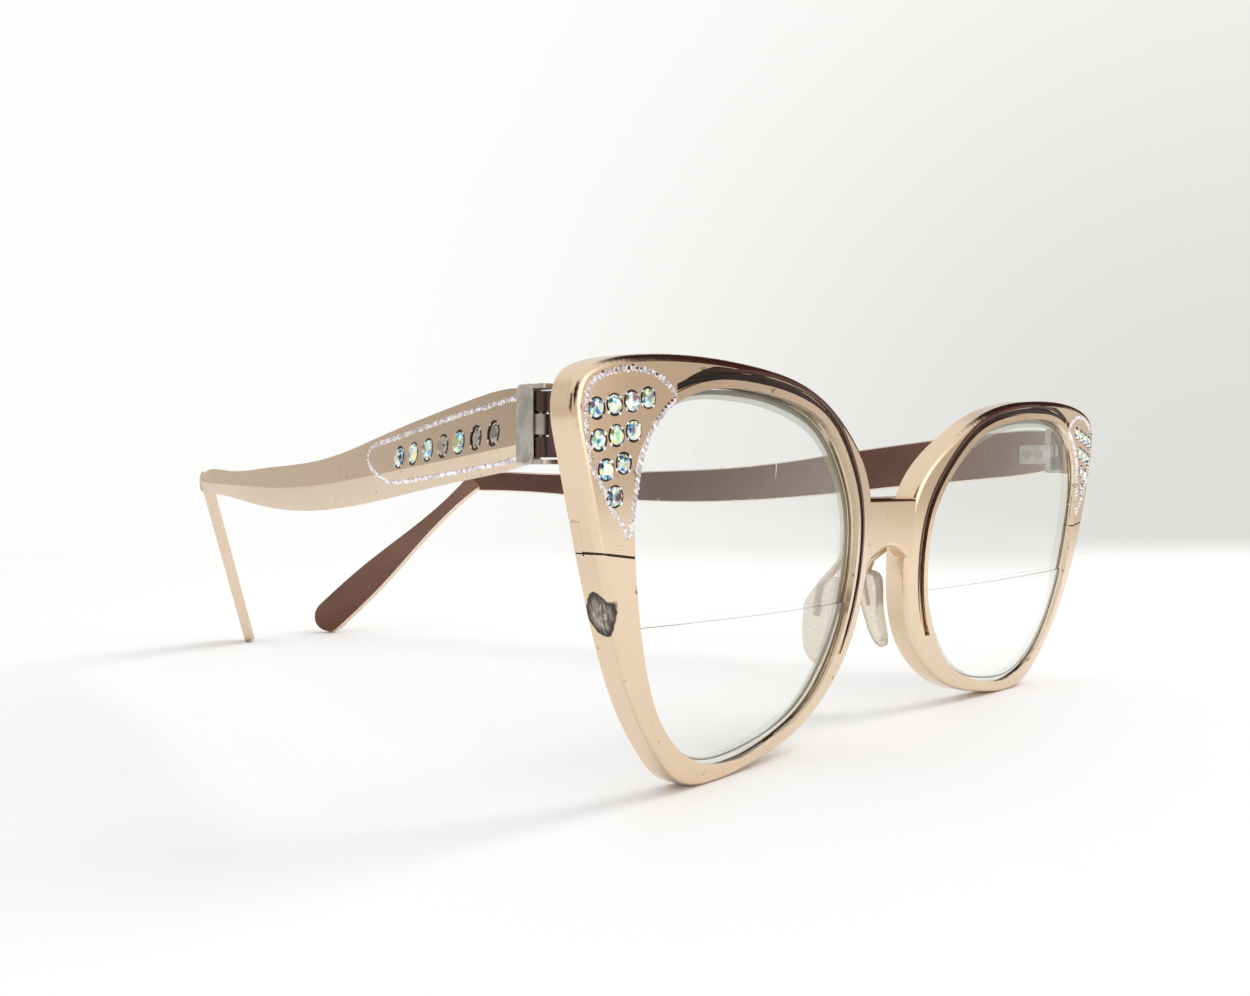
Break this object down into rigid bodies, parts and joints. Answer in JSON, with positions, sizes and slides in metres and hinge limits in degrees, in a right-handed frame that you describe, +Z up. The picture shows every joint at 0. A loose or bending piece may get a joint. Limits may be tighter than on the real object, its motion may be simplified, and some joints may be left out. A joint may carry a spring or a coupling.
{
  "type": "cat eye eyeglasses",
  "caption": "Upswept cat eye eyeglasses with clear straight-line bifocal lenses, stone-set corners, nose pads on wire arms and folding stone-set temples.",
  "frame": {"origin": "on the table, under the middle of the whole pair as it stands at rest", "axes": "+Z up from the table, +X to the wearer's left, +Y back along the open temples, so the front faces -Y"},
  "size_m": [0.1216, 0.1314, 0.0419],
  "materials": {
    "front_gold": "bright anodised, worn",
    "temple_gold": "bright anodised, worn",
    "block_metal": "bare, scuffed",
    "hinge_metal": "darkened by wear",
    "screw_metal": "plain",
    "bracket_metal": "gold tinted wire",
    "lens": "clear, slightly scratched",
    "stone": "faceted, foiled",
    "nose_pad": "clear plastic yellowed with age"
  },
  "bodies": {
    "front": {"front_frame": "front_gold", "lens_left": "lens", "nose_pad_left": "nose_pad", "nose_pad_bracket_left": "bracket_metal", "pad_rivet_left": "screw_metal", "front_hinge_leaf_left": "hinge_metal", "hinge_leaf_screws_left": "screw_metal", "hinge_screw_left": "screw_metal", "eyewire_screw_left": "screw_metal", "brow_stones_left": "stone", "lens_right": "lens", "nose_pad_right": "nose_pad", "nose_pad_bracket_right": "bracket_metal", "pad_rivet_right": "screw_metal", "front_hinge_leaf_right": "hinge_metal", "hinge_leaf_screws_right": "screw_metal", "hinge_screw_right": "screw_metal", "eyewire_screw_right": "screw_metal", "brow_stones_right": "stone"},
    "temple_left": {"temple_left": "temple_gold", "temple_hinge_block_left": "block_metal", "temple_block_screws_left": "screw_metal", "temple_stones_left": "stone"},
    "temple_right": {"temple_right": "temple_gold", "temple_hinge_block_right": "block_metal", "temple_block_screws_right": "screw_metal", "temple_stones_right": "stone"}
  },
  "joints": [
    {"name": "temple_left_fold", "type": "hinge", "parent": "front", "child": "temple_left", "pos_m": [0.0591, -0.05905, 0.0351], "axis": [0, 0, 1], "range_deg": [-16.3, 43.7]},
    {"name": "temple_right_fold", "type": "hinge", "parent": "front", "child": "temple_right", "pos_m": [-0.0591, -0.05905, 0.0351], "axis": [0, 0, -1], "range_deg": [-16.3, 71.7]}
  ]
}
